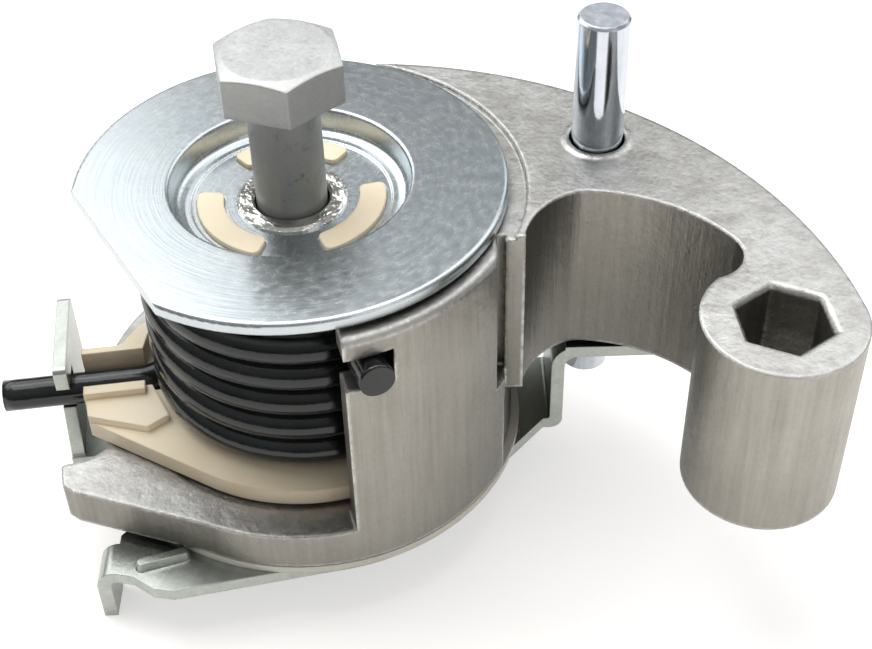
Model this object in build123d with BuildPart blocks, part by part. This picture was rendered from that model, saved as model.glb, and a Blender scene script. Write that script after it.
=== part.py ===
"""Spring-loaded belt tensioner arm: base plate, cast arm, torsion spring, front disc and lock pin."""

from build123d import *

import os
from math import acos, asin, atan2, cos, degrees, hypot, radians, sin, sqrt

os.makedirs("parts", exist_ok=True)

# Frame: millimetres, Z up along the pivot, origin on the pivot at the mounting face,
# X from the pivot to the hexagon boss while the lock pin is in.

# Clearances
press_gap = 0.03
running_gap = 0.05
small_gap = 0.2
free_gap = 0.35

# Base plate, drawn square to its wing
base_turn = 25.0
plate_thickness = 2.0
plate_radius = 31.0
bend_radius = 1.0
wing_bend_radius = 2.0
wing_wall_x = 37.2
wing_front_y = -3.1
wing_wall_width = 14.0
wing_width = 20.5
wing_end_x = 52.5
wing_gap = 1.0
tab_offset = 36.1
tab_back = 14.4
tab_nose = 2.8
tab_lip = 1.3
tab_foot = 4.5
tab_height = 19.0
tab_corner = 1.0
lug_x = -30.6
lug_front_y = -31.7
lug_width = 5.6
lug_drop = 7.7
bead_width = 2.4
bead_height = 1.2

# Stack above the base plate
thrust_ring_thickness = 1.3
thrust_ring_bore = 18.0
floor_thickness = 6.4
pocket_depth = 0.3
pocket_step = 1.2
housing_height = 42.5
housing_radius = 32.5
housing_wall = 4.0
housing_start = -51.0
housing_end = 125.0
housing_chamfer = 0.8

# Pivot
bolt_radius = 5.0
bolt_length = 70.0
bolt_lift = 14.3
bolt_head_height = 6.3
bolt_head_flats = 16.0
bolt_head_turn = -114.4
bolt_gap = 0.3
tube_radius = 8.0
tube_neck_radius = 7.0
swage_radius = 7.8
swage_height = 0.7
bush_wall = 1.45

# Front disc
disc_inset = 2.1
disc_radius = housing_radius - disc_inset
disc_thickness = 1.7
disc_lift = 0.8
disc_edge_round = 0.6
chord_distance = 26.9
chord_angle = -124.4
recess_radius = 16.9
recess_floor_radius = 15.0
recess_depth = 3.8
recess_step = 0.25

# Friction ring with its three locking tabs
friction_ring_thickness = 2.5
friction_ring_radius = 17.0
slot_inner_radius = 9.5
slot_outer_radius = 13.3
slot_span = 79.0
slot_corner = 1.0
tab_proud = 0.6
tab_count = 3
first_tab_angle = -2.0

# Torsion spring, left hand
wire_radius = 2.4
coil_inset = 5.2
coil_radius = housing_radius - housing_wall - coil_inset - wire_radius
hub_gap = 1.7
hub_radius = coil_radius - wire_radius - hub_gap
leg_bend_radius = 5.5
lower_leg_angle = 211.7
lower_leg_reach = 46.4
upper_leg_angle = -44.5
upper_leg_reach = 34.6
upper_leg_drop = 0.4
full_turns = 5

# Spring seat
seat_bottom_gap = 0.3
seat_side_gap = 0.75
seat_tab_gap = 2.0
seat_height = 2.8
seat_bore = hub_radius + 1.2
seat_end = 330.0
back_wall_height = 6.6
back_wall_thickness = 1.2
front_wall_height = 5.1
front_wall_thickness = 1.8
wedge_height = 1.2
seat_block_width = 5.3

# Arm
boss_distance = 70.1
boss_radius = 10.7
crescent_step = 0.65
step_radius = housing_radius + 0.5
crescent_thickness = 28.35
outer_arc_radius = 67.85
merge_depth = 1.4
merge_angle = 104.6
rim_mid_radius = housing_radius - 2.3
groove_left_x = housing_radius - 4.4
groove_y = -11.0
rib_left_x = housing_radius - 3.1
rib_right_x = housing_radius - 0.4
rib_y = -12.1
groove_height = 12.1
relief_radius = housing_radius - 1.3
relief_start = -0.6
relief_end = 60.0
finger_reach = 8.1
finger_angle = 239.0
hex_flats = 11.0
hex_chamfer = 0.6

# Lock pin
pin_x = 35.5
pin_y = 27.2
pin_radius = 3.7
pin_hole_gap = 0.35
notch_gap = 0.6
notch_corner = 1.5
pin_above_arm = 20.45
pin_length = 63.8
pin_chamfer = 0.4
burr_width = 1.0
burr_height = 0.25

# Heights worked out from the stack
floor_bottom = plate_thickness + thrust_ring_thickness + small_gap
floor_top = floor_bottom + floor_thickness
housing_top = floor_bottom + housing_height
crescent_top = housing_top + crescent_step
crescent_bottom = crescent_top - crescent_thickness
flange_bottom = housing_top + disc_lift
disc_top = flange_bottom + disc_thickness
recess_floor = disc_top - recess_depth
disc_floor_bottom = recess_floor - disc_thickness
friction_ring_bottom = disc_floor_bottom - friction_ring_thickness
hub_top = friction_ring_bottom - free_gap
wing_height = crescent_bottom - wing_gap
lower_leg_z = floor_top + wire_radius + free_gap
upper_leg_z = friction_ring_bottom - upper_leg_drop
rim_inner_radius = housing_radius - housing_wall
pocket_radius = rim_inner_radius - pocket_step
seat_outer_radius = pocket_radius - seat_side_gap
seat_reach = tab_offset - seat_tab_gap
bush_outer_radius = tube_radius + running_gap + bush_wall
notch_end = upper_leg_angle + degrees(asin((wire_radius + free_gap) / rim_inner_radius))
pin_hole_radius = pin_radius + pin_hole_gap

# Working planes turned with the base and with the spring's lower leg
base_plane = Plane.XY.rotated((0, 0, base_turn))
leg_plane = Plane.XY.rotated((0, 0, lower_leg_angle))


def polar(radius, angle):
    """A point in the plane from a radius and an angle in degrees."""
    return (radius * cos(radians(angle)), radius * sin(radians(angle)))


def draw_sector(inner_radius, outer_radius, start_angle, end_angle):
    """Draw the outline of a flat ring sector in the open line block."""
    outer = CenterArc((0, 0), outer_radius, start_angle, end_angle - start_angle)
    inner = CenterArc((0, 0), inner_radius, start_angle, end_angle - start_angle)
    Line(outer @ 0, inner @ 0)
    Line(outer @ 1, inner @ 1)


# Base plate: round plate, foot with its lug, spring tab and raised wing from one sheet
foot_outline = [
    (5.8, -30.4),
    (-18.8, -35.1),
    (-21.7, -34.6),
    (-24.9, -32.3),
    (lug_x + bend_radius + plate_thickness, lug_front_y),
    (lug_x + bend_radius + plate_thickness, lug_front_y + lug_width + 1.5),
    polar(plate_radius, 220),
    (0.0, 0.0),
]
wing_wall_plane = Plane(base_plane.origin, x_dir=base_plane.x_dir, z_dir=-base_plane.y_dir)
tab_face_plane = Plane(leg_plane.origin, x_dir=leg_plane.y_dir, z_dir=leg_plane.x_dir)
wire_clear = wire_radius + small_gap
rib_corner = base_plane.from_local_coords(Vector(rib_right_x, rib_y, 0))
pin_place = base_plane.to_local_coords(Vector(pin_x, pin_y, 0))
notch_left_x = wing_wall_x + plate_thickness + 0.3
notch_right_x = pin_place.X + pin_radius + notch_gap
notch_front_y = pin_place.Y - pin_radius - notch_gap
with BuildPart() as base_plate:
    with BuildSketch(base_plane):
        Circle(plate_radius)
        with BuildLine():
            Polyline(*foot_outline, close=True)
        make_face()
        with BuildLine():
            wing_root = ThreePointArc((28.7, -11.7), (33.4, -6.3), (wing_wall_x - bend_radius, wing_front_y))
            Polyline(
                wing_root @ 1,
                (wing_wall_x - bend_radius, wing_front_y + wing_wall_width),
                (20.0, wing_front_y + wing_wall_width),
                (0.0, 0.0),
                wing_root @ 0,
            )
        make_face()
    extrude(amount=plate_thickness)
    # Raised wing with its two bends
    with BuildSketch(wing_wall_plane.offset(-wing_front_y)):
        with BuildLine():
            Polyline(
                (wing_wall_x - 2 * bend_radius, 0),
                (wing_wall_x + plate_thickness, 0),
                (wing_wall_x + plate_thickness, wing_height - plate_thickness),
                (wing_end_x, wing_height - plate_thickness),
                (wing_end_x, wing_height),
                (wing_wall_x, wing_height),
                (wing_wall_x, plate_thickness),
                (wing_wall_x - 2 * bend_radius, plate_thickness),
                close=True,
            )
        make_face()
        fillet(vertices().sort_by_distance((wing_wall_x + plate_thickness, 0))[0], plate_thickness)
        fillet(vertices().sort_by_distance((wing_wall_x, plate_thickness))[0], 0.5 * bend_radius)
        fillet(vertices().sort_by_distance((wing_wall_x, wing_height))[0], wing_bend_radius + plate_thickness)
        top_bend = (wing_wall_x + plate_thickness, wing_height - plate_thickness)
        fillet(vertices().sort_by_distance(top_bend)[0], wing_bend_radius)
    extrude(amount=-wing_wall_width)
    with BuildSketch(base_plane.offset(wing_height - plate_thickness)):
        with BuildLine():
            Polyline(
                (wing_wall_x + plate_thickness, wing_front_y),
                (wing_end_x, wing_front_y),
                (wing_end_x, wing_front_y + wing_width),
                (wing_wall_x + plate_thickness, wing_front_y + wing_width),
                close=True,
            )
        make_face()
        fillet(vertices().group_by(Axis.X)[-1], 2.0)
    extrude(amount=plate_thickness)
    # Lock pin notch, open on the side the arm swings to
    with BuildSketch(base_plane.offset(wing_height - 2 * plate_thickness)):
        with BuildLine():
            Polyline(
                (notch_left_x, notch_front_y),
                (notch_right_x, notch_front_y),
                (notch_right_x, wing_front_y + wing_width + 1),
                (wing_wall_x - 1, wing_front_y + wing_width + 1),
                (wing_wall_x - 1, wing_front_y + wing_wall_width + small_gap),
                (notch_left_x, wing_front_y + wing_wall_width + small_gap),
                close=True,
            )
        make_face()
        fillet(vertices().sort_by_distance((notch_right_x, notch_front_y))[0], notch_corner)
    extrude(amount=3 * plate_thickness, mode=Mode.SUBTRACT)
    # Spring tab: an upright hook that the spring's lower leg lies in
    with BuildSketch(leg_plane):
        with BuildLine():
            Polyline(
                (0, -tab_back),
                (tab_offset + plate_thickness, -tab_back),
                (tab_offset + plate_thickness, tab_foot),
                (0, tab_foot),
                close=True,
            )
        make_face()
    extrude(amount=plate_thickness)
    with BuildSketch(tab_face_plane.offset(tab_offset)):
        with BuildLine():
            Polyline(
                (-tab_back, 0),
                (-tab_back, tab_height),
                (tab_nose, tab_height),
                (tab_nose, lower_leg_z + wire_clear),
                (-wire_clear, lower_leg_z + wire_clear),
                (-wire_clear, lower_leg_z - wire_clear),
                (tab_lip, lower_leg_z - wire_clear),
                (tab_foot, 0),
                close=True,
            )
        make_face()
        fillet(vertices().sort_by_distance((-tab_back, tab_height))[0], tab_corner)
        fillet(vertices().sort_by_distance((tab_nose, tab_height))[0], tab_corner)
    extrude(amount=plate_thickness)
    # Foot lug bent down at the plate's left edge
    with BuildSketch(wing_wall_plane.offset(-lug_front_y)):
        with BuildLine():
            Polyline(
                (lug_x + 2 * bend_radius + plate_thickness, plate_thickness),
                (lug_x, plate_thickness),
                (lug_x, -lug_drop),
                (lug_x + plate_thickness, -lug_drop),
                (lug_x + plate_thickness, 0),
                (lug_x + 2 * bend_radius + plate_thickness, 0),
                close=True,
            )
        make_face()
        fillet(vertices().sort_by_distance((lug_x, plate_thickness))[0], bend_radius + plate_thickness)
        fillet(vertices().sort_by_distance((lug_x + plate_thickness, 0))[0], bend_radius)
    extrude(amount=-lug_width)
    # Stiffening bead on the foot
    with BuildSketch(base_plane.offset(plate_thickness)):
        with BuildLine():
            Line((-24.8, -30.8), (-16.8, -28.4))
        trace(line_width=bead_width)
        fillet(vertices(), 0.45 * bead_width)
    extrude(amount=bead_height, taper=25)
    # Bore for the pivot tube's neck
    with BuildSketch():
        Circle(tube_neck_radius + press_gap)
    extrude(amount=plate_thickness, mode=Mode.SUBTRACT)
base_plate.part.label = "base_plate"
export_step(base_plate.part, "parts/base_plate.step")

# Thrust ring between the base plate and the arm
with BuildPart() as thrust_ring:
    with BuildSketch(Plane.XY.offset(plate_thickness)):
        Circle(housing_radius)
        Circle(thrust_ring_bore, mode=Mode.SUBTRACT)
    extrude(amount=thrust_ring_thickness)
thrust_ring.part.label = "thrust_ring"
export_step(thrust_ring.part, "parts/thrust_ring.step")

# Pivot tube, necked at both ends and swaged over the front disc
with BuildPart() as pivot_tube:
    with BuildSketch(Plane.XZ):
        with BuildLine():
            Polyline(
                (bolt_radius + bolt_gap, 0),
                (tube_neck_radius, 0),
                (tube_neck_radius, plate_thickness),
                (tube_radius, plate_thickness),
                (tube_radius, disc_floor_bottom),
                (tube_neck_radius, disc_floor_bottom),
                (tube_neck_radius, recess_floor),
                (swage_radius, recess_floor),
                (swage_radius, recess_floor + 0.4 * swage_height),
                (swage_radius - 0.5, recess_floor + swage_height),
                (bolt_radius + bolt_gap + 0.4, recess_floor + swage_height),
                (bolt_radius + bolt_gap, recess_floor + 0.4 * swage_height),
                close=True,
            )
        make_face()
    revolve(axis=Axis.Z)
pivot_tube.part.label = "pivot_tube"
export_step(pivot_tube.part, "parts/pivot_tube.step")

# Bearing bush pressed into the arm's hub
with BuildPart() as bearing_bush:
    with BuildSketch(Plane.XY.offset(floor_bottom)):
        Circle(bush_outer_radius)
        Circle(tube_radius + running_gap, mode=Mode.SUBTRACT)
    extrude(amount=hub_top - floor_bottom)
bearing_bush.part.label = "bearing_bush"
export_step(bearing_bush.part, "parts/bearing_bush.step")

# Friction ring under the front disc, its tabs standing up through the disc
with BuildPart() as friction_ring:
    with BuildSketch(Plane.XY.offset(friction_ring_bottom)):
        Circle(friction_ring_radius)
        Circle(bush_outer_radius, mode=Mode.SUBTRACT)
    extrude(amount=friction_ring_thickness)
    for tab in range(tab_count):
        middle = first_tab_angle + tab * 360 / tab_count
        with BuildSketch(Plane.XY.offset(disc_floor_bottom)):
            with BuildLine():
                draw_sector(
                    slot_inner_radius + press_gap,
                    slot_outer_radius - press_gap,
                    middle - 0.5 * slot_span + 0.3,
                    middle + 0.5 * slot_span - 0.3,
                )
            make_face()
            fillet(vertices(), slot_corner)
        extrude(amount=disc_thickness + tab_proud)
friction_ring.part.label = "friction_ring"
export_step(friction_ring.part, "parts/friction_ring.step")

# Front disc with its shallow recess
with BuildPart() as front_disc:
    with BuildSketch(Plane.XZ):
        with BuildLine():
            Polyline(
                (tube_neck_radius + press_gap, disc_floor_bottom),
                (recess_floor_radius + 1.8, disc_floor_bottom),
                (recess_radius + 1.3, flange_bottom),
                (disc_radius, flange_bottom),
                (disc_radius, disc_top),
                (recess_radius, disc_top),
                (recess_radius - 0.7, recess_floor + 2 * recess_step),
                (recess_floor_radius, recess_floor + recess_step),
                (recess_floor_radius - 0.8, recess_floor + recess_step),
                (recess_floor_radius - 1.0, recess_floor),
                (tube_neck_radius + press_gap, recess_floor),
                close=True,
            )
        make_face()
        fillet(vertices().sort_by_distance((disc_radius, disc_top))[0], disc_edge_round)
        fillet(vertices().sort_by_distance((recess_radius, disc_top))[0], 0.5)
        fillet(vertices().sort_by_distance((recess_radius - 0.7, recess_floor + 2 * recess_step))[0], 0.8)
        fillet(vertices().sort_by_distance((recess_radius + 1.3, flange_bottom))[0], 1.2)
    revolve(axis=Axis.Z)
    for slot in range(tab_count):
        middle = first_tab_angle + slot * 360 / tab_count
        with BuildSketch(Plane.XY.offset(disc_floor_bottom)):
            with BuildLine():
                draw_sector(
                    slot_inner_radius, slot_outer_radius, middle - 0.5 * slot_span, middle + 0.5 * slot_span
                )
            make_face()
            fillet(vertices(), slot_corner)
        extrude(amount=recess_depth, mode=Mode.SUBTRACT)
    with BuildSketch(Plane.XY.rotated((0, 0, chord_angle)).offset(flange_bottom)):
        with Locations((chord_distance + disc_radius, 0)):
            Rectangle(2 * disc_radius, 4 * disc_radius)
    extrude(amount=disc_thickness, mode=Mode.SUBTRACT)
front_disc.part.label = "front_disc"
export_step(front_disc.part, "parts/front_disc.step")

# Mounting bolt hanging loose in the pivot tube
bolt_head_bottom = disc_top + bolt_lift
with BuildPart() as mounting_bolt:
    with BuildSketch(Plane.XY.offset(bolt_head_bottom)):
        RegularPolygon(0.5 * bolt_head_flats, 6, major_radius=False, rotation=bolt_head_turn)
    extrude(amount=bolt_head_height)
    with BuildSketch(Plane.XZ):
        with BuildLine():
            Polyline(
                (0, bolt_head_bottom - 1),
                (0.6 * bolt_head_flats, bolt_head_bottom - 1),
                (0.6 * bolt_head_flats, bolt_head_bottom + bolt_head_height - 0.85),
                (0.46 * bolt_head_flats, bolt_head_bottom + bolt_head_height),
                (0, bolt_head_bottom + bolt_head_height),
                close=True,
            )
        make_face()
    revolve(axis=Axis.Z, mode=Mode.INTERSECT)
    with BuildSketch(Plane.XY.offset(bolt_head_bottom - bolt_length)):
        Circle(bolt_radius)
    extrude(amount=bolt_length)
    chamfer(edges().sort_by(Axis.Z)[0], 1.0)
mounting_bolt.part.label = "mounting_bolt"
export_step(mounting_bolt.part, "parts/mounting_bolt.step")

# Torsion spring: radial legs bent out of a left-hand coil
bend_angle = degrees(asin(leg_bend_radius / (coil_radius + leg_bend_radius)))
leg_start_radius = sqrt((coil_radius + leg_bend_radius) ** 2 - leg_bend_radius**2)
coil_turn = lower_leg_angle - upper_leg_angle + 360 * full_turns - 2 * bend_angle
coil_height = upper_leg_z - lower_leg_z
coil_slope = coil_height / (radians(coil_turn) * coil_radius)


def draw_leg(leg_angle, side, reach, z):
    """Draw a radial leg and the bend that joins it to the coil on the given side."""
    center_x, center_y = polar(coil_radius + leg_bend_radius, leg_angle + side * bend_angle)
    middle_x, middle_y = polar(leg_bend_radius, leg_angle - side * (135 - 0.5 * bend_angle))
    join_angle = leg_angle + side * bend_angle
    leg = Line((*polar(reach, leg_angle), z), (*polar(leg_start_radius, leg_angle), z))
    Spline(
        leg @ 1,
        (center_x + middle_x, center_y + middle_y, z),
        (*polar(coil_radius, join_angle), z),
        tangents=[leg % 1, (*polar(1, join_angle + side * 90), -side * coil_slope)],
    )
    return leg


with BuildPart() as torsion_spring:
    with BuildLine() as wire:
        lower_leg = draw_leg(lower_leg_angle, -1, lower_leg_reach, lower_leg_z)
        coil = Helix(
            360 * coil_height / coil_turn, coil_height, coil_radius, (0, 0, lower_leg_z), lefthand=True, mode=Mode.PRIVATE
        )
        add(coil.rotate(Axis.Z, lower_leg_angle - bend_angle))
        draw_leg(upper_leg_angle, 1, upper_leg_reach, upper_leg_z)
    with BuildSketch(Plane(origin=lower_leg @ 0, z_dir=lower_leg % 0)):
        Circle(wire_radius)
    sweep(path=wire.wires()[0])
torsion_spring.part.label = "torsion_spring"
export_step(torsion_spring.part, "parts/torsion_spring.step")

# Spring seat: a ring around the lowest turn with walls that hold the lower leg
seat_bottom = floor_top + seat_bottom_gap
seat_inner_radius = coil_radius + wire_clear
back_wall_y = -wire_clear - 0.3
front_wall_y = wire_clear
front_corner = (seat_reach - 0.6, front_wall_y + seat_block_width)
front_corner_angle = degrees(atan2(front_corner[1], front_corner[0]))
tangent_angle = front_corner_angle + degrees(acos(seat_outer_radius / hypot(*front_corner)))
with BuildPart() as spring_seat:
    # Ring, reaching in under the raised part of the lowest turn
    with BuildSketch(leg_plane.offset(seat_bottom)):
        Circle(seat_outer_radius)
        Circle(seat_inner_radius, mode=Mode.SUBTRACT)
        with BuildLine():
            draw_sector(seat_bore, seat_inner_radius + 1, 0, seat_end - lower_leg_angle)
        make_face()
        with BuildLine():
            Polyline(
                (seat_bore, 0),
                (seat_reach, 0),
                (seat_reach, front_wall_y),
                front_corner,
                polar(seat_outer_radius, tangent_angle),
                polar(seat_bore, tangent_angle),
                close=True,
            )
        make_face()
        Circle(seat_bore, mode=Mode.SUBTRACT)
    extrude(amount=seat_height)
    # Wedge in front of the leg
    with BuildSketch(leg_plane.offset(seat_bottom + seat_height)):
        with BuildLine():
            Polyline(
                (seat_reach, 0),
                (seat_reach, front_wall_y),
                front_corner,
                (seat_inner_radius + 1.2, front_wall_y + 8.8),
                (seat_inner_radius - 2.0, front_wall_y + 6.8),
                (seat_inner_radius + 1.4, 0),
                close=True,
            )
        make_face()
    extrude(amount=wedge_height)
    # Low wall in front of the leg
    with BuildSketch(leg_plane.offset(seat_bottom)):
        with BuildLine():
            Polyline(
                (seat_inner_radius + 1.4, front_wall_y),
                (seat_reach, front_wall_y),
                (seat_reach, front_wall_y + front_wall_thickness),
                (seat_inner_radius + 1.4, front_wall_y + front_wall_thickness),
                close=True,
            )
        make_face()
    extrude(amount=front_wall_height)
    # High wall behind the leg, widening into a post inside the leg's bend
    with BuildSketch(leg_plane.offset(seat_bottom)):
        with BuildLine():
            Polyline(
                (seat_outer_radius - 1.5, back_wall_y),
                (seat_inner_radius, back_wall_y - 6.5),
                (leg_start_radius - 0.3, back_wall_y - 5.4),
                (leg_start_radius + 2.2, back_wall_y - back_wall_thickness - 0.6),
                (leg_start_radius + 3.2, back_wall_y - back_wall_thickness),
                (seat_reach + 0.3, back_wall_y - back_wall_thickness),
                (seat_reach + 0.3, back_wall_y),
                close=True,
            )
        make_face()
    extrude(amount=back_wall_height)
    # Way for the leg between the walls and for its bend into the coil
    with BuildSketch(leg_plane.offset(seat_bottom)):
        with BuildLine():
            Polyline(
                (0, back_wall_y),
                (seat_reach + 1, back_wall_y),
                (seat_reach + 1, front_wall_y),
                (0, front_wall_y),
                close=True,
            )
        make_face()
    extrude(amount=back_wall_height, mode=Mode.SUBTRACT)
    bend_center = leg_plane.from_local_coords((leg_start_radius, -leg_bend_radius, seat_bottom))
    with BuildSketch(Plane(bend_center)):
        with BuildLine():
            draw_sector(
                leg_bend_radius - wire_clear, leg_bend_radius + wire_clear, lower_leg_angle + 90, lower_leg_angle + 180
            )
        make_face()
    extrude(amount=back_wall_height, mode=Mode.SUBTRACT)
    # Clearance around the lowest turn
    with BuildSketch(leg_plane.offset(seat_bottom)):
        with BuildLine():
            draw_sector(seat_bore - 1, seat_inner_radius, -90, 0)
        make_face()
    extrude(amount=back_wall_height, mode=Mode.SUBTRACT)
spring_seat.part.label = "spring_seat"
export_step(spring_seat.part, "parts/spring_seat.step")

# Arm: floor with the finger, hub, spring housing and the crescent that carries the boss
merge_x, merge_y = polar(rim_mid_radius + merge_depth, merge_angle)
merge_reach = hypot(boss_distance - merge_x, merge_y)
boss_reach = outer_arc_radius - boss_radius
merge_cosine = (outer_arc_radius**2 + merge_reach**2 - boss_reach**2) / (2 * outer_arc_radius * merge_reach)
toward_center = atan2(-merge_y, boss_distance - merge_x) - acos(merge_cosine)
outer_arc_x = merge_x + outer_arc_radius * cos(toward_center)
outer_arc_y = merge_y + outer_arc_radius * sin(toward_center)
outer_arc_first = degrees(atan2(merge_y - outer_arc_y, merge_x - outer_arc_x))
outer_arc_last = degrees(atan2(-outer_arc_y, boss_distance - outer_arc_x))
with BuildPart() as arm:
    with BuildSketch(Plane.XY.offset(floor_bottom)):
        Circle(housing_radius)
        with BuildLine():
            finger_notch = ThreePointArc(
                polar(housing_radius + finger_reach - 1.5, finger_angle - 7.8),
                polar(housing_radius + 2.6, finger_angle - 7.3),
                polar(housing_radius - 0.3, finger_angle - 9.8),
            )
            Polyline(
                finger_notch @ 1,
                (0, 0),
                (0, -housing_radius),
                polar(housing_radius + finger_reach, finger_angle),
                polar(housing_radius + finger_reach + 0.7, finger_angle - 2.8),
                polar(housing_radius + finger_reach - 0.4, finger_angle - 7.9),
                finger_notch @ 0,
            )
        make_face()
        fillet(vertices().sort_by_distance(polar(housing_radius + finger_reach, finger_angle))[0], 1.0)
        fillet(
            vertices().sort_by_distance(polar(housing_radius + finger_reach - 0.4, finger_angle - 7.9))[0], 0.6
        )
    extrude(amount=floor_thickness)
    with BuildSketch(Plane.XY.offset(floor_top - pocket_depth)):
        Circle(pocket_radius)
    extrude(amount=pocket_depth, mode=Mode.SUBTRACT)
    with BuildSketch(Plane.XY.offset(floor_bottom)):
        Circle(hub_radius)
    extrude(amount=hub_top - floor_bottom)
    # Housing wall around the spring, open at the back
    with BuildSketch(Plane.XZ.rotated((0, 0, housing_start))):
        with BuildLine():
            Polyline(
                (rim_inner_radius, floor_top - pocket_depth),
                (housing_radius, floor_top - pocket_depth),
                (housing_radius, housing_top - housing_chamfer),
                (housing_radius - housing_chamfer, housing_top),
                (rim_inner_radius, housing_top),
                close=True,
            )
        make_face()
    revolve(axis=Axis.Z, revolution_arc=housing_end - housing_start)
    # Crescent between the housing and the boss
    with BuildSketch(Plane.XY.offset(crescent_bottom)):
        with BuildLine():
            outer_arc = CenterArc(
                (outer_arc_x, outer_arc_y), outer_arc_radius, outer_arc_last, outer_arc_first - outer_arc_last
            )
            boss_arc = ThreePointArc(
                outer_arc @ 0,
                (boss_distance + boss_radius * cos(radians(-30)), boss_radius * sin(radians(-30))),
                (boss_distance - boss_radius * cos(radians(23.5)), boss_radius * sin(radians(23.5))),
            )
            inner_corner = ThreePointArc(
                boss_arc @ 1, (boss_distance - 7.85, 8.9), (boss_distance - 9.9, 12.6)
            )
            bay_arc = ThreePointArc(
                inner_corner @ 1, (boss_distance - 21.5, 16.5), (housing_radius + 5.0, 14.8)
            )
            bay_side = ThreePointArc(
                bay_arc @ 1, (housing_radius + 1.6, rib_corner.Y + 7.0), (housing_radius + 1.3, rib_corner.Y + 0.8)
            )
            Polyline(
                bay_side @ 1,
                (rib_corner.X, rib_corner.Y),
                base_plane.from_local_coords((rib_left_x + 0.5, rib_y)),
                base_plane.from_local_coords((rib_left_x, rib_y + 0.6)),
                base_plane.from_local_coords((rib_left_x, groove_y + 0.4)),
                polar(rim_mid_radius, 5),
            )
            rim_arc = ThreePointArc(
                polar(rim_mid_radius, 5), polar(rim_mid_radius, 60), polar(rim_mid_radius, merge_angle - 1)
            )
            Line(rim_arc @ 1, outer_arc @ 1)
        make_face()
        fillet(vertices().sort_by_distance(bay_arc @ 1)[0], 4.0)
        fillet(vertices().sort_by_distance(bay_side @ 1)[0], 0.6)
    extrude(amount=crescent_thickness)
    with BuildSketch(Plane.XY.offset(housing_top)):
        Circle(step_radius)
    extrude(amount=2 * crescent_step, mode=Mode.SUBTRACT)
    # Groove beside the rib, and the housing cut back beyond it
    with BuildSketch(base_plane.offset(floor_top + groove_height)):
        with BuildLine():
            Polyline(
                (groove_left_x, groove_y),
                (rib_left_x, groove_y),
                (rib_left_x, groove_y - 8),
                (groove_left_x, groove_y - 8),
                close=True,
            )
        make_face()
    extrude(amount=housing_height, mode=Mode.SUBTRACT)
    with BuildSketch(base_plane.offset(crescent_bottom)):
        with BuildLine():
            Polyline(
                (rib_left_x, rib_y),
                (rib_left_x + 6, rib_y),
                (rib_left_x + 6, rib_y - 6),
                (rib_left_x, rib_y - 6),
                close=True,
            )
        make_face()
    extrude(amount=housing_height, mode=Mode.SUBTRACT)
    with BuildSketch(Plane.XY.offset(floor_bottom)):
        with BuildLine():
            draw_sector(relief_radius, housing_radius + 1, relief_start, relief_end)
        make_face()
    extrude(amount=crescent_bottom - floor_bottom, mode=Mode.SUBTRACT)
    # Notch for the spring's upper leg
    with BuildSketch(Plane.XY.offset(upper_leg_z - wire_radius - free_gap)):
        with BuildLine():
            draw_sector(rim_inner_radius - 1, housing_radius + 1, housing_start - 2, notch_end)
        make_face()
    extrude(amount=2 * (wire_radius + free_gap), mode=Mode.SUBTRACT)
    # Bore for the bush
    with BuildSketch():
        Circle(bush_outer_radius + press_gap)
    extrude(amount=housing_top, mode=Mode.SUBTRACT)
    # Hexagon through the boss, its upper rim chamfered
    with BuildSketch(Plane.XY.offset(crescent_bottom)):
        with Locations((boss_distance, 0)):
            RegularPolygon(0.5 * hex_flats, 6, major_radius=False)
    extrude(amount=crescent_thickness, mode=Mode.SUBTRACT)
    with BuildSketch(Plane.XY.offset(crescent_top)):
        with Locations((boss_distance, 0)):
            RegularPolygon(0.5 * hex_flats + hex_chamfer, 6, major_radius=False)
    extrude(amount=-hex_chamfer, taper=45, mode=Mode.SUBTRACT)
    # Lock pin hole with a raised burr around its mouth
    with BuildSketch(Plane.XY.offset(crescent_top)):
        with Locations((pin_x, pin_y)):
            Circle(pin_hole_radius + burr_width)
    extrude(amount=burr_height, taper=30)
    with BuildSketch(Plane.XY.offset(crescent_bottom)):
        with Locations((pin_x, pin_y)):
            Circle(pin_hole_radius)
    extrude(amount=crescent_thickness + 1, mode=Mode.SUBTRACT)
arm.part.label = "arm"
export_step(arm.part, "parts/arm.step")

# Lock pin standing in the arm and the wing
pin_bottom = crescent_top + pin_above_arm - pin_length
with BuildPart() as lock_pin:
    with BuildSketch(Plane.XY.offset(pin_bottom)):
        with Locations((pin_x, pin_y)):
            Circle(pin_radius)
    extrude(amount=pin_length)
    chamfer(edges().filter_by(GeomType.CIRCLE), pin_chamfer)
lock_pin.part.label = "lock_pin"
export_step(lock_pin.part, "parts/lock_pin.step")
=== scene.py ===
"""Looks for the belt tensioner arm assembly: camera, light, floor, materials and the wound spring."""
import math

import bmesh
import bpy
from mathutils import Matrix, Vector


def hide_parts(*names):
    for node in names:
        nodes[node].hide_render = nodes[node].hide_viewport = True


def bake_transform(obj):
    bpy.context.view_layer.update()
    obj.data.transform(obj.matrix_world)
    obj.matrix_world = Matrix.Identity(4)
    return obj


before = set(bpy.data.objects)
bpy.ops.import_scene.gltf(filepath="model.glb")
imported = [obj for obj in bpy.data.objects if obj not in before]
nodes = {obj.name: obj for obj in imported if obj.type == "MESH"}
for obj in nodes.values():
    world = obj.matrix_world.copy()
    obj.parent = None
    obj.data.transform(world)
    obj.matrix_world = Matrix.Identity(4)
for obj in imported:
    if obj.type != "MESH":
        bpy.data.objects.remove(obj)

MM = 0.001

# Camera: what it turns, dips and rolls by, its lens and its place in millimetres
CAMERA_TURN = math.radians(25.0)
CAMERA_DIP = math.radians(42.574)
CAMERA_ROLL = -0.0277965
CAMERA_PLACE = (90.06, -146.51, 176.92)
SENSOR_WIDTH = 36.0
LENS = SENSOR_WIDTH * 1531.22 / 872

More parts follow.
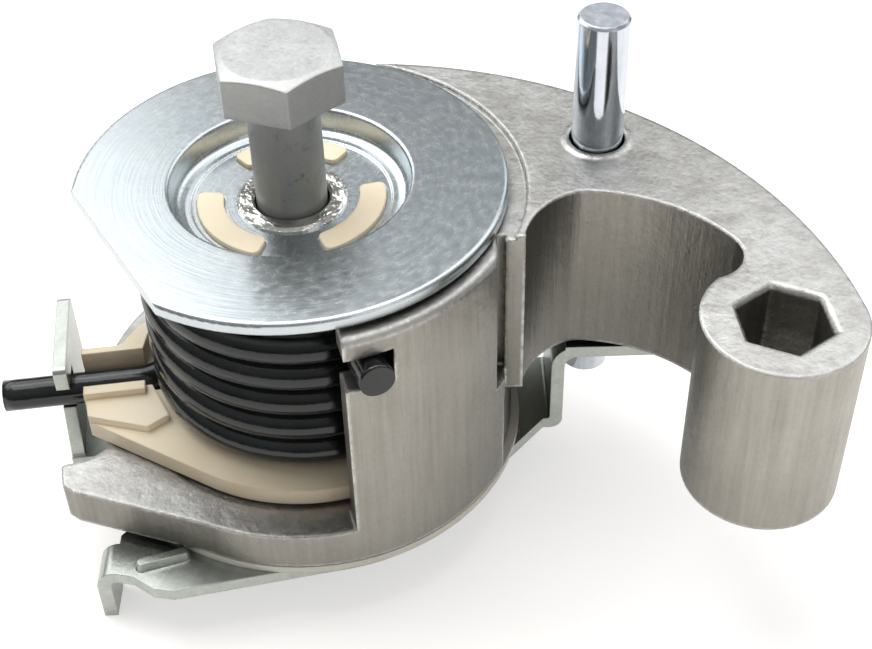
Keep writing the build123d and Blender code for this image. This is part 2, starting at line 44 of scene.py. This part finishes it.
# Places on the part in millimetres
FLOOR_HEIGHT = -7.8
BOSS_DISTANCE = 70.1
SOCKET_REACH = 6.6
SOCKET_RIM = 46.0
BOLT_HEAD_BOTTOM = 62.7

# The spring's line in millimetres and degrees
WIRE_RADIUS = 2.4
COIL_RADIUS = 20.9
LEG_BEND_RADIUS = 5.5
LOWER_LEG_HEIGHT, UPPER_LEG_HEIGHT = 12.65, 40.1
LOWER_LEG_ANGLE, UPPER_LEG_ANGLE = 211.7, -44.5
LOWER_LEG_REACH, UPPER_LEG_REACH = 46.4, 34.6
FULL_TURNS = 5
BEND_TURN = math.degrees(math.asin(LEG_BEND_RADIUS / (COIL_RADIUS + LEG_BEND_RADIUS)))
COIL_STEPS, LEG_STEPS, BEND_STEPS, WIRE_SIDES = 480, 12, 9, 28

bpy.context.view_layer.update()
scene = bpy.context.scene


# Camera at the photograph's angle, worked out in the part's own frame
def make_camera():
    level = math.cos(CAMERA_DIP)
    forward = Vector((-math.sin(CAMERA_TURN) * level, math.cos(CAMERA_TURN) * level, -math.sin(CAMERA_DIP)))
    right = Vector((math.cos(CAMERA_TURN), math.sin(CAMERA_TURN), 0))
    up = right.cross(forward)
    right_rolled = right * math.cos(CAMERA_ROLL) + up * math.sin(CAMERA_ROLL)
    up_rolled = -right * math.sin(CAMERA_ROLL) + up * math.cos(CAMERA_ROLL)
    place = Vector(CAMERA_PLACE) * MM
    data = bpy.data.cameras.new("camera")
    data.sensor_fit = "HORIZONTAL"
    data.sensor_width = SENSOR_WIDTH
    data.lens = LENS
    data.clip_start = 0.01
    data.clip_end = 20
    camera = bpy.data.objects.new("camera", data)
    camera.matrix_world = Matrix(
        (
            (right_rolled.x, up_rolled.x, -forward.x, place.x),
            (right_rolled.y, up_rolled.y, -forward.y, place.y),
            (right_rolled.z, up_rolled.z, -forward.z, place.z),
            (0, 0, 0, 1),
        )
    )
    scene.collection.objects.link(camera)
    scene.camera = camera


# Node helpers
class Tree:
    """A material's node tree with short calls for the nodes used here."""

    def __init__(self, name, metallic, roughness):
        self.material = bpy.data.materials.new(name)
        self.material.use_nodes = True
        self.tree = self.material.node_tree
        self.shader = self.tree.nodes["Principled BSDF"]
        self.shader.inputs["Metallic"].default_value = metallic
        self.shader.inputs["Roughness"].default_value = roughness
        self.coords = self.tree.nodes.new("ShaderNodeTexCoord").outputs["Object"]

    def link(self, a, b):
        self.tree.links.new(a, b)

    def mapped(self, scale, rotation=(0, 0, 0)):
        node = self.tree.nodes.new("ShaderNodeMapping")
        node.inputs["Scale"].default_value = scale
        node.inputs["Rotation"].default_value = rotation
        self.link(self.coords, node.inputs["Vector"])
        return node.outputs["Vector"]

    def noise(self, scale, detail=4.0, rough=0.55, source=None):
        node = self.tree.nodes.new("ShaderNodeTexNoise")
        node.inputs["Scale"].default_value = scale
        node.inputs["Detail"].default_value = detail
        node.inputs["Roughness"].default_value = rough
        self.link(source or self.coords, node.inputs["Vector"])
        return node.outputs["Fac"]

    def voronoi(self, scale):
        node = self.tree.nodes.new("ShaderNodeTexVoronoi")
        node.inputs["Scale"].default_value = scale
        self.link(self.coords, node.inputs["Vector"])
        return node.outputs["Distance"]

    def ramp(self, fac, stops):
        node = self.tree.nodes.new("ShaderNodeValToRGB")
        elements = node.color_ramp.elements
        while len(elements) < len(stops):
            elements.new(0.5)
        for element, (position, color) in zip(elements, stops):
            element.position = position
            element.color = (*color, 1)
        self.link(fac, node.inputs["Fac"])
        return node.outputs["Color"]

    def span(self, fac, low, high, to_low, to_high):
        node = self.tree.nodes.new("ShaderNodeMapRange")
        node.inputs["From Min"].default_value = low
        node.inputs["From Max"].default_value = high
        node.inputs["To Min"].default_value = to_low
        node.inputs["To Max"].default_value = to_high
        self.link(fac, node.inputs["Value"])
        return node.outputs["Result"]

    def math(self, operation, a, b=None):
        node = self.tree.nodes.new("ShaderNodeMath")
        node.operation = operation
        for socket, value in zip(node.inputs, (a, b)):
            if value is None:
                continue
            if isinstance(value, (int, float)):
                socket.default_value = value
            else:
                self.link(value, socket)
        return node.outputs["Value"]

    def times(self, a, b):
        return self.math("MULTIPLY", a, b)

    def mix(self, fac, a, b):
        node = self.tree.nodes.new("ShaderNodeMix")
        node.data_type = "RGBA"
        for name, value in (("Factor", fac), ("A", a), ("B", b)):
            socket = [s for s in node.inputs if s.name == name and s.enabled][0]
            if isinstance(value, (int, float)):
                socket.default_value = value
            elif isinstance(value, tuple):
                socket.default_value = (*value, 1)
            else:
                self.link(value, socket)
        return [s for s in node.outputs if s.enabled][0]

    def bump(self, height, distance, strength, after=None):
        node = self.tree.nodes.new("ShaderNodeBump")
        node.inputs["Strength"].default_value = strength
        node.inputs["Distance"].default_value = distance
        self.link(height, node.inputs["Height"])
        if after is not None:
            self.link(after, node.inputs["Normal"])
        return node.outputs["Normal"]

    def edge(self, radius):
        """The rounded normal and a mask that is 1 along the edges."""
        bevel = self.tree.nodes.new("ShaderNodeBevel")
        bevel.samples = 4
        bevel.inputs["Radius"].default_value = radius
        geometry = self.tree.nodes.new("ShaderNodeNewGeometry")
        dot = self.tree.nodes.new("ShaderNodeVectorMath")
        dot.operation = "DOT_PRODUCT"
        self.link(bevel.outputs["Normal"], dot.inputs[0])
        self.link(geometry.outputs["Normal"], dot.inputs[1])
        return bevel.outputs["Normal"], self.span(dot.outputs["Value"], 0.998, 0.93, 0.0, 1.0)

    def radius(self):
        """Distance from the pivot's axis."""
        x, y, _ = self.position()
        return self.length(x, y)

    def length(self, x, y):
        return self.math("SQRT", self.math("ADD", self.times(x, x), self.times(y, y)))

    def hollow(self, distance):
        """1 in the open, towards 0 in hollows and corners."""
        node = self.tree.nodes.new("ShaderNodeAmbientOcclusion")
        node.samples = 4
        node.inputs["Distance"].default_value = distance
        return node.outputs["AO"]

    def combine(self, x, y, z):
        node = self.tree.nodes.new("ShaderNodeCombineXYZ")
        for socket, value in zip(node.inputs, (x, y, z)):
            if isinstance(value, (int, float)):
                socket.default_value = value
            else:
                self.link(value, socket)
        return node.outputs["Vector"]

    def upward(self):
        """1 on faces that look up, 0 on upright ones."""
        geometry = self.tree.nodes.new("ShaderNodeNewGeometry")
        split = self.tree.nodes.new("ShaderNodeSeparateXYZ")
        self.link(geometry.outputs["True Normal"], split.inputs["Vector"])
        return self.span(split.outputs["Z"], 0.5, 0.9, 0.0, 1.0)

    def position(self):
        """Separate x, y and z of the object's own coordinates."""
        node = self.tree.nodes.new("ShaderNodeSeparateXYZ")
        self.link(self.coords, node.inputs["Vector"])
        return node.outputs["X"], node.outputs["Y"], node.outputs["Z"]

    def finish(self, color, roughness=None, normal=None):
        self.link(color, self.shader.inputs["Base Color"])
        if roughness is not None:
            self.link(roughness, self.shader.inputs["Roughness"])
        if normal is not None:
            self.link(normal, self.shader.inputs["Normal"])
        return self.material


def cast_aluminium():
    """Tumbled casting: upright drag lines on its walls, satin top faces with pits; walls painted darker than
    the tops and hollows darkened, both as painted shade; edges lighter, partly rubbed and partly a painted
    highlight.
    """
    t = Tree("cast_aluminium", 1.0, 0.4)
    normal, edges = t.edge(0.0008)
    top = t.upward()
    broad = t.noise(55, 3)
    fine = t.noise(1500, 5, 0.7)
    grain = t.noise(520, 4, 0.65)
    lines = t.noise(1000, 4, 0.65, t.mapped((1, 1, 0.04)))
    streaks = t.noise(220, 3, 0.6, t.mapped((1, 1, 0.12)))
    wall = t.mix(0.35, t.ramp(lines, [(0.3, (0.27, 0.255, 0.22)), (0.7, (0.44, 0.425, 0.385))]),
                 t.ramp(streaks, [(0.3, (0.28, 0.265, 0.23)), (0.7, (0.43, 0.415, 0.375))]))
    wall = t.mix(0.35, wall, t.ramp(broad, [(0.3, (0.26, 0.245, 0.215)), (0.7, (0.45, 0.435, 0.395))]))
    face = t.mix(0.4, t.ramp(grain, [(0.3, (0.4, 0.39, 0.37)), (0.7, (0.56, 0.555, 0.535))]),
                 t.ramp(fine, [(0.35, (0.37, 0.36, 0.34)), (0.65, (0.6, 0.59, 0.57))]))
    patch = t.mix(t.span(t.noise(130, 4, 0.65), 0.42, 0.62, 0.0, 0.45), face, (0.68, 0.675, 0.66))
    # Walls take darker colours than top faces, partly for their rougher cast finish and partly as painted
    # shade on the upright faces.
    color = t.mix(top, wall, t.mix(t.span(broad, 0.4, 0.6, 0.35, 0.0), patch, (0.26, 0.25, 0.23)))
    # Painted shade: the colour darkens towards near black in hollows and corners, less on top faces and much
    # less inside the socket at the boss.
    x, y, z = t.position()
    from_boss = t.length(t.math("SUBTRACT", x, BOSS_DISTANCE * MM), y)
    near_boss = t.math("LESS_THAN", from_boss, SOCKET_REACH * MM)
    in_socket = t.times(near_boss, t.math("LESS_THAN", z, SOCKET_RIM * MM))
    open_to_shade = t.math("SUBTRACT", 1.0, t.times(in_socket, 0.75))
    shade = t.times(t.span(t.hollow(0.045), 0.3, 0.88, 0.95, 0.0), t.span(top, 0.0, 1.0, 1.0, 0.4))
    shade = t.times(shade, open_to_shade)
    color = t.mix(shade, color, (0.05, 0.05, 0.042))
    # Edges lightened: partly rubbed metal, partly a painted highlight.
    edge_wear_and_glint = t.times(edges, t.span(t.noise(900, 4, 0.7), 0.35, 0.6, 0.25, 1.0))
    color = t.mix(edge_wear_and_glint, color, (0.82, 0.81, 0.78))
    pits = t.span(t.voronoi(330), 0.05, 0.16, 0.0, 1.0)
    dents = t.noise(240, 4, 0.6)
    lined = t.times(lines, t.span(top, 0.0, 1.0, 1.0, 0.0))
    normal = t.bump(dents, 0.0005, 0.4, t.bump(pits, 0.00006, 0.35, normal))
    normal = t.bump(fine, 0.00008, 0.5, t.bump(lined, 0.00012, 0.6, normal))
    rough = t.math("SUBTRACT", t.span(fine, 0.3, 0.7, 0.36, 0.52), t.times(edge_wear_and_glint, 0.16))
    return t.finish(color, rough, normal)


def zinc_sheet():
    """Zinc-plated pressing: pale with a green-grey cast, faint clouds and scratches; edges lighter, partly
    rubbed and partly a painted highlight; hollows darkened as painted shade.
    """
    t = Tree("zinc_sheet", 0.95, 0.3)
    normal, edges = t.edge(0.0003)
    cloud = t.noise(70, 4, 0.6)
    fine = t.noise(1500, 4)
    scratch = t.noise(700, 3, 0.6, t.mapped((1, 0.06, 1), (0, 0, 0.5)))
    color = t.mix(0.35, t.ramp(cloud, [(0.3, (0.34, 0.37, 0.33)), (0.7, (0.5, 0.525, 0.475))]),
                  t.ramp(fine, [(0.3, (0.34, 0.36, 0.33)), (0.7, (0.54, 0.56, 0.52))]))
    color = t.mix(0.25, color, t.ramp(scratch, [(0.35, (0.33, 0.35, 0.32)), (0.7, (0.58, 0.6, 0.56))]))
    # Edges lightened: partly rubbed plating, partly a painted highlight.
    color = t.mix(t.times(edges, 0.5), color, (0.72, 0.74, 0.7))
    # Painted shade: darker in hollows and corners.
    color = t.mix(t.span(t.hollow(0.012), 0.2, 0.75, 0.6, 0.0), color, (0.08, 0.085, 0.075))
    rough = t.span(cloud, 0.3, 0.7, 0.24, 0.38)
    normal = t.bump(fine, 0.00004, 0.4, t.bump(cloud, 0.0003, 0.25, normal))
    return t.finish(color, rough, normal)


def turned_zinc():
    """Blue-white zinc on the front disc: fine turned rings, short stroke marks and a rim painted bright as a
    painted highlight.
    """
    t = Tree("turned_zinc", 1.0, 0.25)
    normal, edges = t.edge(0.00035)
    radius = t.radius()
    x, y, _ = t.position()
    angle = t.math("ARCTAN2", y, x)
    ring_place = t.combine(t.times(radius, 2600), t.times(angle, 1.6), 0.0)
    stroke_place = t.combine(t.times(radius, 900), t.times(angle, 14.0), 3.0)
    rings = t.noise(1.0, 3, 0.6, ring_place)
    strokes = t.noise(1.0, 4, 0.65, stroke_place)
    cloud = t.noise(95, 4, 0.6)
    color = t.mix(0.35, t.ramp(rings, [(0.3, (0.47, 0.51, 0.525)), (0.7, (0.6, 0.645, 0.655))]),
                  t.ramp(strokes, [(0.3, (0.43, 0.475, 0.495)), (0.7, (0.63, 0.67, 0.68))]))
    color = t.mix(0.25, color, t.ramp(cloud, [(0.3, (0.44, 0.5, 0.54)), (0.7, (0.62, 0.655, 0.65))]))
    # Painted highlight: the rim and edges lightened.
    color = t.mix(t.times(edges, 0.7), color, (0.9, 0.92, 0.92))
    rough = t.span(strokes, 0.3, 0.7, 0.2, 0.3)
    normal = t.bump(strokes, 0.00002, 0.25, t.bump(cloud, 0.0002, 0.12, normal))
    normal = t.bump(rings, 0.00003, 0.4, normal)
    return t.finish(color, rough, normal)


def bright_nickel():
    """Nickel-plated tube, its swaged rim hammered into small facets."""
    t = Tree("nickel_tube", 1.0, 0.14)
    x, y, z = t.position()
    angle = t.times(t.math("ARCTAN2", y, x), 1.7)
    dents = t.noise(1.0, 3, 0.6, t.combine(t.times(t.radius(), 420), angle, t.times(z, 420)))
    ripple = t.noise(350, 3)
    color = t.ramp(ripple, [(0.35, (0.5, 0.48, 0.44)), (0.65, (0.78, 0.77, 0.73))])
    normal = t.bump(dents, 0.0011, 0.5, t.bump(ripple, 0.0004, 0.3))
    return t.finish(color, t.span(ripple, 0.3, 0.7, 0.1, 0.22), normal)


def black_gloss():
    """Glossy black coat over the wire, slightly uneven, with dust and rubbed spots."""
    t = Tree("black_spring", 0.0, 0.16)
    t.shader.inputs["Specular IOR Level"].default_value = 0.5
    mottle = t.noise(160, 4)
    dust = t.noise(1300, 5, 0.75)
    coat = t.ramp(mottle, [(0.3, (0.004, 0.005, 0.0055)), (0.7, (0.013, 0.015, 0.0155))])
    color = t.mix(t.span(dust, 0.55, 0.8, 0.0, 0.5), coat, (0.045, 0.05, 0.05))
    rough = t.span(t.math("ADD", mottle, t.times(dust, 0.6)), 0.6, 1.0, 0.09, 0.2)
    return t.finish(color, rough, t.bump(mottle, 0.0005, 0.3, t.bump(dust, 0.00004, 0.3)))


def cream_polymer(name, pale, deep):
    """Moulded polymer between two creams, with a faint grain and softly rounded edges."""
    t = Tree(name, 0.0, 0.42)
    t.shader.inputs["Subsurface Weight"].default_value = 0.1
    t.shader.inputs["Subsurface Scale"].default_value = 0.0015
    normal, edges = t.edge(0.0004)
    cloud = t.noise(80, 4)
    specks = t.noise(1100, 4, 0.7)
    color = t.ramp(cloud, [(0.3, deep), (0.7, pale)])
    color = t.mix(t.span(specks, 0.62, 0.8, 0.0, 0.25), color, (0.45, 0.37, 0.27))
    rough = t.span(specks, 0.3, 0.7, 0.36, 0.5)
    return t.finish(color, rough, t.bump(specks, 0.00004, 0.35, t.bump(cloud, 0.0002, 0.2, normal)))


def bolt_steel():
    """Pale grey zinc-flake coat on the bolt, cloudy and finely pitted; edges lightened as a painted
    highlight, upright faces and the shank below the head darkened, in spots, as painted shade.
    """
    t = Tree("bolt_steel", 0.55, 0.48)
    normal, edges = t.edge(0.0005)
    grain = t.noise(1500, 5, 0.7)
    cloud = t.noise(150, 4, 0.6)
    color = t.mix(0.45, t.ramp(cloud, [(0.3, (0.5, 0.505, 0.495)), (0.7, (0.7, 0.705, 0.69))]),
                  t.ramp(grain, [(0.3, (0.34, 0.345, 0.34)), (0.7, (0.64, 0.645, 0.635))]))
    # Painted highlight: edges lightened.
    color = t.mix(t.times(edges, 0.5), color, (0.74, 0.74, 0.72))
    # Painted shade: the shank below the head darkened, unevenly in spots, where it sits in the bore and under
    # the part.
    _, _, z = t.position()
    spots = t.span(t.noise(420, 4, 0.7), 0.6, 0.72, 0.0, 0.5)
    shank = t.times(t.math("LESS_THAN", z, BOLT_HEAD_BOTTOM * MM), t.math("ADD", spots, 0.45))
    color = t.mix(shank, color, (0.12, 0.125, 0.12))
    # Painted shade: upright faces darker than the faces that look up.
    side = t.times(t.span(t.upward(), 0.0, 1.0, 1.0, 0.0), 0.42)
    color = t.mix(side, color, (0.2, 0.2, 0.19))
    rough = t.span(grain, 0.3, 0.7, 0.4, 0.56)
    return t.finish(color, rough, t.bump(grain, 0.0001, 0.5, t.bump(cloud, 0.0004, 0.3, normal)))


def pin_steel():
    """Bright blue-white plated pin with faint draw lines and a satin end."""
    t = Tree("pin_steel", 1.0, 0.1)
    normal, edges = t.edge(0.0003)
    streaks = t.noise(700, 3, 0.6, t.mapped((1, 1, 0.02)))
    haze = t.noise(300, 4)
    color = t.mix(0.4, t.ramp(streaks, [(0.3, (0.42, 0.47, 0.53)), (0.7, (0.68, 0.71, 0.76))]),
                  t.ramp(haze, [(0.3, (0.46, 0.5, 0.56)), (0.7, (0.7, 0.72, 0.75))]))
    rough = t.math("ADD", t.span(streaks, 0.3, 0.7, 0.05, 0.13), t.times(t.upward(), 0.3))
    return t.finish(color, rough, t.bump(streaks, 0.00003, 0.3, t.bump(haze, 0.00006, 0.3, normal)))


def bush_lining():
    """Dull grey-brown lining of the bush, finely grained."""
    t = Tree("bush_lining", 0.3, 0.5)
    grain = t.noise(900, 3)
    color = t.ramp(grain, [(0.3, (0.2, 0.18, 0.16)), (0.7, (0.34, 0.31, 0.27))])
    return t.finish(color, normal=t.bump(grain, 0.00005, 0.3))


def paint(node, material):
    mesh = nodes[node].data
    mesh.materials.clear()
    mesh.materials.append(material)


# The wound spring, a mesh tube coiled between base and arm
def polar(radius, angle):
    return Vector((radius * math.cos(math.radians(angle)), radius * math.sin(math.radians(angle)), 0))


def leg_path(angle, side, reach, height):
    """One leg from its end inwards, with the bend that leads it into the coil."""
    start = math.sqrt((COIL_RADIUS + LEG_BEND_RADIUS) ** 2 - LEG_BEND_RADIUS**2)
    points = [polar(reach + (start - reach) * k / LEG_STEPS, angle) for k in range(LEG_STEPS)]
    center = polar(COIL_RADIUS + LEG_BEND_RADIUS, angle + side * BEND_TURN)
    for k in range(BEND_STEPS):
        turned = 90 + k / BEND_STEPS * (90 - BEND_TURN)
        points.append(center + polar(LEG_BEND_RADIUS, angle - side * turned))
    return [point + Vector((0, 0, height)) for point in points]


def spring_path():
    """Points along the wire in millimetres, from the lower leg's end to the upper leg's."""
    coil_turn = LOWER_LEG_ANGLE - UPPER_LEG_ANGLE + 360 * FULL_TURNS - 2 * BEND_TURN
    coil = []
    for k in range(COIL_STEPS + 1):
        share = k / COIL_STEPS
        angle = LOWER_LEG_ANGLE - BEND_TURN - share * coil_turn
        height = LOWER_LEG_HEIGHT + share * (UPPER_LEG_HEIGHT - LOWER_LEG_HEIGHT)
        coil.append(polar(COIL_RADIUS, angle) + Vector((0, 0, height)))
    lower = leg_path(LOWER_LEG_ANGLE, -1, LOWER_LEG_REACH, LOWER_LEG_HEIGHT)
    upper = leg_path(UPPER_LEG_ANGLE, 1, UPPER_LEG_REACH, UPPER_LEG_HEIGHT)
    return lower + coil + upper[::-1]


def make_tube(name, points, radius, sides):
    """A closed mesh tube along the points, all in millimetres."""
    mesh = bmesh.new()
    rings = []
    side = None
    for index, point in enumerate(points):
        before = points[max(index - 1, 0)]
        after = points[min(index + 1, len(points) - 1)]
        along = (after - before).normalized()
        if side is None:
            side = along.cross(Vector((0, 0, 1))).normalized()
        side = (side - along * side.dot(along)).normalized()
        other = along.cross(side)
        ring = []
        for k in range(sides):
            a = 2 * math.pi * k / sides
            ring.append(mesh.verts.new((point + (side * math.cos(a) + other * math.sin(a)) * radius) * MM))
        rings.append(ring)
    for first, second in zip(rings, rings[1:]):
        for k in range(sides):
            mesh.faces.new((first[k], first[(k + 1) % sides], second[(k + 1) % sides], second[k]))
    for ring in (rings[0][::-1], rings[-1]):
        mesh.faces.new(ring)
    bmesh.ops.recalc_face_normals(mesh, faces=mesh.faces)
    data = bpy.data.meshes.new(name)
    mesh.to_mesh(data)
    mesh.free()
    for polygon in data.polygons:
        polygon.use_smooth = len(polygon.vertices) == 4
    piece = bpy.data.objects.new(name, data)
    scene.collection.objects.link(piece)
    return piece


def make_spring(material):
    spring = make_tube("wound_spring", spring_path(), WIRE_RADIUS, WIRE_SIDES)
    spring.data.materials.append(material)
    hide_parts("torsion_spring")
    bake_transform(spring)


# Soft panels of the studio: the way they lie, the cosines they fade in between, and their strength
STUDIO = (
    ((0, 0, 1), -0.4, 1.0, 0.48),
    ((-0.7, 0.22, 0.68), 0.865, 0.9, 2.1),
    ((0.3, 0.74, 0.6), 0.88, 0.95, 1.5),
)


# Floor, light and white surroundings
def make_stage():
    bpy.ops.mesh.primitive_plane_add(size=4, location=(0, 0, FLOOR_HEIGHT * MM))
    floor = bpy.context.object
    floor.name = "floor"
    material = bpy.data.materials.new("floor")
    material.use_nodes = True
    tree = material.node_tree
    tree.nodes.clear()
    out = tree.nodes.new("ShaderNodeOutputMaterial")
    matt = tree.nodes.new("ShaderNodeBsdfDiffuse")
    matt.inputs["Color"].default_value = (0.75, 0.72, 0.69, 1)
    glow = tree.nodes.new("ShaderNodeEmission")
    glow.inputs["Color"].default_value = (1, 1, 1, 1)
    path = tree.nodes.new("ShaderNodeLightPath")
    shown = tree.nodes.new("ShaderNodeMath")
    shown.operation = "MAXIMUM"
    tree.links.new(path.outputs["Is Camera Ray"], shown.inputs[0])
    tree.links.new(path.outputs["Is Glossy Ray"], shown.inputs[1])
    strength = tree.nodes.new("ShaderNodeMath")
    strength.operation = "MULTIPLY"
    strength.inputs[1].default_value = 0.5
    tree.links.new(shown.outputs["Value"], strength.inputs[0])
    tree.links.new(strength.outputs["Value"], glow.inputs["Strength"])
    both = tree.nodes.new("ShaderNodeAddShader")
    tree.links.new(matt.outputs["BSDF"], both.inputs[0])
    tree.links.new(glow.outputs["Emission"], both.inputs[1])
    tree.links.new(both.outputs["Shader"], out.inputs["Surface"])
    floor.data.materials.append(material)


def make_world():
    """White to the camera, and to everything else a studio with a soft panel on each side behind the part."""
    world = bpy.data.worlds.new("world")
    scene.world = world
    world.use_nodes = True
    tree = world.node_tree
    tree.nodes.clear()
    out = tree.nodes.new("ShaderNodeOutputWorld")
    direction = tree.nodes.new("ShaderNodeTexCoord").outputs["Generated"]

    def glow(toward, low, high, amount):
        dot = tree.nodes.new("ShaderNodeVectorMath")
        dot.operation = "DOT_PRODUCT"
        dot.inputs[1].default_value = Vector(toward).normalized()
        tree.links.new(direction, dot.inputs[0])
        span = tree.nodes.new("ShaderNodeMapRange")
        span.interpolation_type = "SMOOTHSTEP"
        span.inputs["From Min"].default_value = low
        span.inputs["From Max"].default_value = high
        span.inputs["To Max"].default_value = amount
        tree.links.new(dot.outputs["Value"], span.inputs["Value"])
        return span.outputs["Result"]

    total = None
    for panel in STUDIO:
        share = glow(*panel)
        if total is not None:
            add = tree.nodes.new("ShaderNodeMath")
            add.operation = "ADD"
            tree.links.new(total, add.inputs[0])
            tree.links.new(share, add.inputs[1])
            share = add.outputs["Value"]
        total = share
    studio = tree.nodes.new("ShaderNodeBackground")
    studio.inputs["Color"].default_value = (0.97, 0.985, 1.0, 1)
    tree.links.new(total, studio.inputs["Strength"])
    white = tree.nodes.new("ShaderNodeBackground")
    white.inputs["Color"].default_value = (1, 1, 1, 1)
    white.inputs["Strength"].default_value = 1.0
    path = tree.nodes.new("ShaderNodeLightPath")
    mix = tree.nodes.new("ShaderNodeMixShader")
    tree.links.new(path.outputs["Is Camera Ray"], mix.inputs["Fac"])
    tree.links.new(studio.outputs["Background"], mix.inputs[1])
    tree.links.new(white.outputs["Background"], mix.inputs[2])
    tree.links.new(mix.outputs["Shader"], out.inputs["Surface"])


def area_light(name, location, target, size, power):
    data = bpy.data.lights.new(name, "AREA")
    data.shape = "RECTANGLE"
    data.size, data.size_y = size
    data.energy = power
    light = bpy.data.objects.new(name, data)
    light.location = location
    direction = Vector(target) - Vector(location)
    light.rotation_euler = direction.to_track_quat("-Z", "Y").to_euler()
    scene.collection.objects.link(light)


make_camera()
make_world()
make_stage()
area_light("key", (-0.1, 0.12, 0.7), (0.02, 0, 0.02), (0.6, 0.5), 2.6)
area_light("side", (0.5, -0.2, 0.35), (0.02, 0, 0.02), (0.3, 0.4), 0.4)

cast = cast_aluminium()
zinc = zinc_sheet()
cream = cream_polymer("cream_polymer", (0.93, 0.81, 0.61), (0.85, 0.71, 0.5))
pale_ring = cream_polymer("pale_ring", (0.8, 0.77, 0.68), (0.7, 0.66, 0.57))
paint("arm", cast)
paint("base_plate", zinc)
paint("front_disc", turned_zinc())
paint("pivot_tube", bright_nickel())
paint("spring_seat", cream)
paint("thrust_ring", pale_ring)
paint("friction_ring", cream)
paint("bearing_bush", bush_lining())
paint("mounting_bolt", bolt_steel())
paint("lock_pin", pin_steel())
make_spring(black_gloss())

scene.view_settings.view_transform = "Standard"
